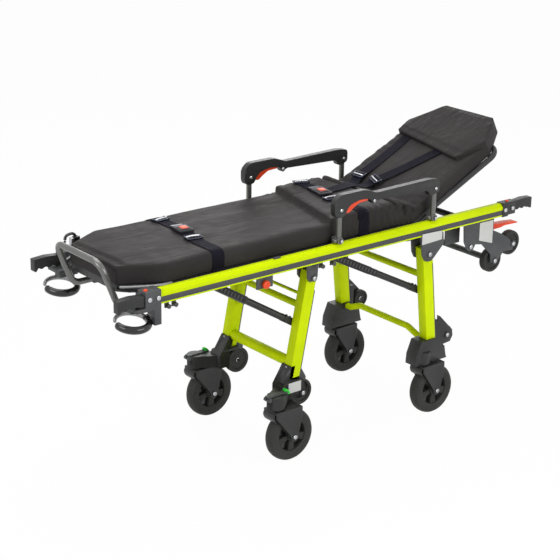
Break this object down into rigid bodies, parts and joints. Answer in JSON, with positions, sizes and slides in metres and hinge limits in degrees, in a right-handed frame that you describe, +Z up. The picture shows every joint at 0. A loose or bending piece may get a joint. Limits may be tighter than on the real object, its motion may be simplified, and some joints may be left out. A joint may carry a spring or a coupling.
{
  "type": "stretcher trolley",
  "caption": "Ambulance stretcher trolley with folding legs, swivel casters, load wheels, raising backrest, folding armrests, slide-out handles and a padded mattress with belts.",
  "frame": {"origin": "on the floor under the middle of the trolley", "axes": "+X towards the head end, +Y towards the patient's left, +Z up"},
  "size_m": [1.976, 0.59, 1.1098],
  "materials": {
    "yellow_paint": "satin yellow-green powder coat",
    "rail_strip": "matt strip",
    "steel_tube": "satin metal",
    "grey_casting": "dark grey paint",
    "zinc_steel": "zinc plated",
    "vinyl": "soft sheen vinyl",
    "webbing": "woven webbing",
    "black_plastic": "moulded",
    "orange_plastic": "moulded",
    "tyre": "grey-black rubber",
    "dark_sheet": "dark grey sheet"
  },
  "bodies": {
    "frame": {"side_rails": "yellow_paint", "rail_strips": "rail_strip", "frame_cross_tubes": "dark_sheet", "deck_panel": "dark_sheet", "foot_end_castings": "grey_casting", "head_end_collars": "grey_casting", "foot_hoop": "steel_tube", "leg_brackets": "grey_casting", "rail_fittings": "grey_casting", "load_wheel_frame": "grey_casting", "mattress": "vinyl", "patient_belts": "webbing", "frame_bolts": "zinc_steel"},
    "backrest": {"backrest_frame": "steel_tube", "backrest_panel": "dark_sheet", "backrest_pad": "vinyl", "head_pillow": "vinyl", "shoulder_belts": "webbing"},
    "head_legs": {"head_leg_frame": "yellow_paint", "head_leg_castings": "grey_casting"},
    "foot_legs": {"foot_leg_frame": "yellow_paint", "foot_leg_castings": "grey_casting"},
    "left_armrest_foot_post": {"left_armrest_foot_post": "steel_tube"},
    "left_armrest_head_post": {"left_armrest_head_post": "steel_tube"},
    "left_armrest": {"left_armrest": "black_plastic"},
    "left_armrest_trigger": {"left_armrest_trigger": "orange_plastic"},
    "right_armrest_foot_post": {"right_armrest_foot_post": "steel_tube"},
    "right_armrest_head_post": {"right_armrest_head_post": "steel_tube"},
    "right_armrest": {"right_armrest": "black_plastic"},
    "right_armrest_trigger": {"right_armrest_trigger": "orange_plastic"},
    "left_foot_handle": {"left_foot_handle": "black_plastic"},
    "right_foot_handle": {"right_foot_handle": "black_plastic"},
    "left_head_handle": {"left_head_handle": "black_plastic"},
    "right_head_handle": {"right_head_handle": "black_plastic"},
    "foot_brace_outer": {"foot_brace_tubes": "black_plastic"},
    "foot_brace_inner": {"foot_brace_rods": "steel_tube"},
    "head_brace_outer": {"head_brace_tubes": "black_plastic"},
    "head_brace_inner": {"head_brace_rods": "steel_tube"},
    "left_foot_caster_fork": {"left_foot_caster_fork": "black_plastic"},
    "left_foot_caster_wheel": {"left_foot_caster_wheel": "tyre"},
    "right_foot_caster_fork": {"right_foot_caster_fork": "black_plastic"},
    "right_foot_caster_wheel": {"right_foot_caster_wheel": "tyre"},
    "left_head_caster_fork": {"left_head_caster_fork": "black_plastic"},
    "left_head_caster_wheel": {"left_head_caster_wheel": "tyre"},
    "right_head_caster_fork": {"right_head_caster_fork": "black_plastic"},
    "right_head_caster_wheel": {"right_head_caster_wheel": "tyre"},
    "foot_guide_wheels": {"foot_guide_wheels": "tyre"},
    "head_guide_wheels": {"head_guide_wheels": "tyre"},
    "load_wheels_front": {"load_wheels_front": "tyre"},
    "load_wheels_rear": {"load_wheels_rear": "tyre"},
    "left_brake_pedal": {"left_brake_pedal": "black_plastic"},
    "left_release_ring": {"left_release_ring": "black_plastic"},
    "right_brake_pedal": {"right_brake_pedal": "black_plastic"},
    "right_release_ring": {"right_release_ring": "black_plastic"},
    "red_release_lever": {"red_release_lever": "orange_plastic"},
    "red_knob": {"red_knob": "orange_plastic"},
    "left_foot_button": {"left_foot_button": "orange_plastic"},
    "right_foot_button": {"right_foot_button": "orange_plastic"},
    "left_head_button": {"left_head_button": "orange_plastic"},
    "right_head_button": {"right_head_button": "orange_plastic"}
  },
  "joints": [
    {"name": "backrest_raise", "type": "hinge", "parent": "frame", "child": "backrest", "pos_m": [0.392, 0, 0.7875], "axis": [0, -1, 0], "range_deg": [-25.2, 45]},
    {"name": "head_leg_fold", "type": "hinge", "parent": "frame", "child": "head_legs", "pos_m": [0.425, 0, 0.675], "axis": [0, 1, 0], "range_deg": [0, 80]},
    {"name": "foot_leg_fold", "type": "hinge", "parent": "frame", "child": "foot_legs", "pos_m": [-0.097, 0, 0.673], "axis": [0, 1, 0], "range_deg": [0, 60]},
    {"name": "left_armrest_fold", "type": "hinge", "parent": "frame", "child": "left_armrest_head_post", "pos_m": [0.45, 0.262, 0.813], "axis": [0, 1, 0], "range_deg": [0, 80]},
    {"name": "left_armrest_level", "type": "hinge", "parent": "left_armrest_head_post", "child": "left_armrest", "pos_m": [0.45, 0.262, 0.928], "axis": [0, 1, 0], "range_deg": [-80, 0]},
    {"name": "left_armrest_foot_post_fold", "type": "hinge", "parent": "frame", "child": "left_armrest_foot_post", "pos_m": [-0.02, 0.262, 0.813], "axis": [0, 1, 0], "range_deg": [0, 80]},
    {"name": "left_armrest_trigger_press", "type": "hinge", "parent": "left_armrest", "child": "left_armrest_trigger", "pos_m": [0.096, 0.262, 0.938], "axis": [0, 1, 0], "range_deg": [0, 5], "stiffness_Nm_per_rad": 0.4, "springref_deg": -5.73},
    {"name": "right_armrest_fold", "type": "hinge", "parent": "frame", "child": "right_armrest_head_post", "pos_m": [0.45, -0.262, 0.813], "axis": [0, 1, 0], "range_deg": [0, 80]},
    {"name": "right_armrest_level", "type": "hinge", "parent": "right_armrest_head_post", "child": "right_armrest", "pos_m": [0.45, -0.262, 0.928], "axis": [0, 1, 0], "range_deg": [-80, 0]},
    {"name": "right_armrest_foot_post_fold", "type": "hinge", "parent": "frame", "child": "right_armrest_foot_post", "pos_m": [-0.02, -0.262, 0.813], "axis": [0, 1, 0], "range_deg": [0, 80]},
    {"name": "right_armrest_trigger_press", "type": "hinge", "parent": "right_armrest", "child": "right_armrest_trigger", "pos_m": [0.096, -0.262, 0.938], "axis": [0, 1, 0], "range_deg": [0, 5], "stiffness_Nm_per_rad": 0.4, "springref_deg": -5.73},
    {"name": "left_foot_handle_slide", "type": "slide", "parent": "frame", "child": "left_foot_handle", "axis": [-1, 0, 0], "range_m": [0, 0.1]},
    {"name": "right_foot_handle_slide", "type": "slide", "parent": "frame", "child": "right_foot_handle", "axis": [-1, 0, 0], "range_m": [0, 0.1]},
    {"name": "left_head_handle_slide", "type": "slide", "parent": "frame", "child": "left_head_handle", "axis": [1, 0, 0], "range_m": [0, 0.1]},
    {"name": "right_head_handle_slide", "type": "slide", "parent": "frame", "child": "right_head_handle", "axis": [1, 0, 0], "range_m": [0, 0.1]},
    {"name": "foot_brace_swing", "type": "hinge", "parent": "frame", "child": "foot_brace_outer", "pos_m": [-0.582, 0, 0.7625], "axis": [0, 1, 0], "range_deg": [-5.81, 0]},
    {"name": "foot_brace_slide", "type": "slide", "parent": "foot_brace_outer", "child": "foot_brace_inner", "axis": [-0.8535, 0, 0.5211], "range_m": [0, 0.18585]},
    {"name": "head_brace_swing", "type": "hinge", "parent": "frame", "child": "head_brace_outer", "pos_m": [-0.055, 0, 0.7625], "axis": [0, 1, 0], "range_deg": [-4.44, 0]},
    {"name": "head_brace_slide", "type": "slide", "parent": "head_brace_outer", "child": "head_brace_inner", "axis": [-0.8897, 0, 0.4566], "range_m": [0, 0.21844]},
    {"name": "left_foot_caster_swivel", "type": "hinge", "parent": "foot_legs", "child": "left_foot_caster_fork", "pos_m": [-0.287, 0.246, 0.213], "axis": [0, 0, 1], "continuous": true},
    {"name": "left_foot_caster_spin", "type": "hinge", "parent": "left_foot_caster_fork", "child": "left_foot_caster_wheel", "pos_m": [-0.223, 0.246, 0.1], "axis": [0, 1, 0], "continuous": true},
    {"name": "right_foot_caster_swivel", "type": "hinge", "parent": "foot_legs", "child": "right_foot_caster_fork", "pos_m": [-0.287, -0.246, 0.213], "axis": [0, 0, 1], "continuous": true},
    {"name": "right_foot_caster_spin", "type": "hinge", "parent": "right_foot_caster_fork", "child": "right_foot_caster_wheel", "pos_m": [-0.223, -0.246, 0.1], "axis": [0, 1, 0], "continuous": true},
    {"name": "left_head_caster_swivel", "type": "hinge", "parent": "head_legs", "child": "left_head_caster_fork", "pos_m": [0.436, 0.257, 0.213], "axis": [0, 0, 1], "continuous": true},
    {"name": "left_head_caster_spin", "type": "hinge", "parent": "left_head_caster_fork", "child": "left_head_caster_wheel", "pos_m": [0.491, 0.257, 0.1], "axis": [0, 1, 0], "continuous": true},
    {"name": "right_head_caster_swivel", "type": "hinge", "parent": "head_legs", "child": "right_head_caster_fork", "pos_m": [0.436, -0.257, 0.213], "axis": [0, 0, 1], "continuous": true},
    {"name": "right_head_caster_spin", "type": "hinge", "parent": "right_head_caster_fork", "child": "right_head_caster_wheel", "pos_m": [0.491, -0.257, 0.1], "axis": [0, 1, 0], "continuous": true},
    {"name": "foot_guide_wheels_spin", "type": "hinge", "parent": "foot_legs", "child": "foot_guide_wheels", "pos_m": [-0.131, 0, 0.228], "axis": [0, 1, 0], "continuous": true},
    {"name": "head_guide_wheels_spin", "type": "hinge", "parent": "head_legs", "child": "head_guide_wheels", "pos_m": [0.557, 0, 0.312], "axis": [0, 1, 0], "continuous": true},
    {"name": "load_wheels_front_spin", "type": "hinge", "parent": "frame", "child": "load_wheels_front", "pos_m": [0.909, 0, 0.617], "axis": [0, 1, 0], "continuous": true},
    {"name": "load_wheels_rear_spin", "type": "hinge", "parent": "frame", "child": "load_wheels_rear", "pos_m": [0.808, 0, 0.565], "axis": [0, 1, 0], "continuous": true},
    {"name": "left_brake_pedal_press", "type": "hinge", "parent": "foot_legs", "child": "left_brake_pedal", "pos_m": [-0.334, 0.246, 0.262], "axis": [0, -1, 0], "range_deg": [0, 12]},
    {"name": "left_release_ring_lift", "type": "hinge", "parent": "frame", "child": "left_release_ring", "pos_m": [-0.82, 0.222, 0.689], "axis": [0, 1, 0], "range_deg": [0, 6], "stiffness_Nm_per_rad": 6, "springref_deg": -8.59},
    {"name": "right_brake_pedal_press", "type": "hinge", "parent": "foot_legs", "child": "right_brake_pedal", "pos_m": [-0.334, -0.246, 0.262], "axis": [0, -1, 0], "range_deg": [0, 12]},
    {"name": "right_release_ring_lift", "type": "hinge", "parent": "frame", "child": "right_release_ring", "pos_m": [-0.82, -0.222, 0.689], "axis": [0, 1, 0], "range_deg": [0, 6], "stiffness_Nm_per_rad": 6, "springref_deg": -8.59},
    {"name": "red_release_lever_lift", "type": "hinge", "parent": "frame", "child": "red_release_lever", "pos_m": [0.786, -0.205, 0.699], "axis": [0, -1, 0], "range_deg": [0, 20], "stiffness_Nm_per_rad": 2, "springref_deg": -17.19},
    {"name": "red_knob_pull", "type": "slide", "parent": "frame", "child": "red_knob", "axis": [0, -1, 0], "range_m": [0, 0.008], "stiffness_N_per_m": 800, "springref_m": -0.004},
    {"name": "left_foot_button_press", "type": "slide", "parent": "frame", "child": "left_foot_button", "axis": [0, 0, -1], "range_m": [0, 0.003], "stiffness_N_per_m": 400, "springref_m": -0.003},
    {"name": "right_foot_button_press", "type": "slide", "parent": "frame", "child": "right_foot_button", "axis": [0, 0, -1], "range_m": [0, 0.003], "stiffness_N_per_m": 400, "springref_m": -0.003},
    {"name": "left_head_button_press", "type": "slide", "parent": "frame", "child": "left_head_button", "axis": [0, 0, -1], "range_m": [0, 0.003], "stiffness_N_per_m": 400, "springref_m": -0.003},
    {"name": "right_head_button_press", "type": "slide", "parent": "frame", "child": "right_head_button", "axis": [0, 0, -1], "range_m": [0, 0.003], "stiffness_N_per_m": 400, "springref_m": -0.003}
  ],
  "couplings": [
    {"joint": "left_armrest_level", "follows": "left_armrest_fold", "ratio": -1},
    {"joint": "left_armrest_foot_post_fold", "follows": "left_armrest_fold", "ratio": 1},
    {"joint": "right_armrest_level", "follows": "right_armrest_fold", "ratio": -1},
    {"joint": "right_armrest_foot_post_fold", "follows": "right_armrest_fold", "ratio": 1},
    {"joint": "foot_brace_swing", "follows": "foot_leg_fold", "ratio": -0.088551},
    {"joint": "foot_brace_slide", "follows": "foot_leg_fold", "m_per_rad": 0.17556},
    {"joint": "head_brace_swing", "follows": "head_leg_fold", "ratio": -0.049284},
    {"joint": "head_brace_slide", "follows": "head_leg_fold", "m_per_rad": 0.15501}
  ]
}
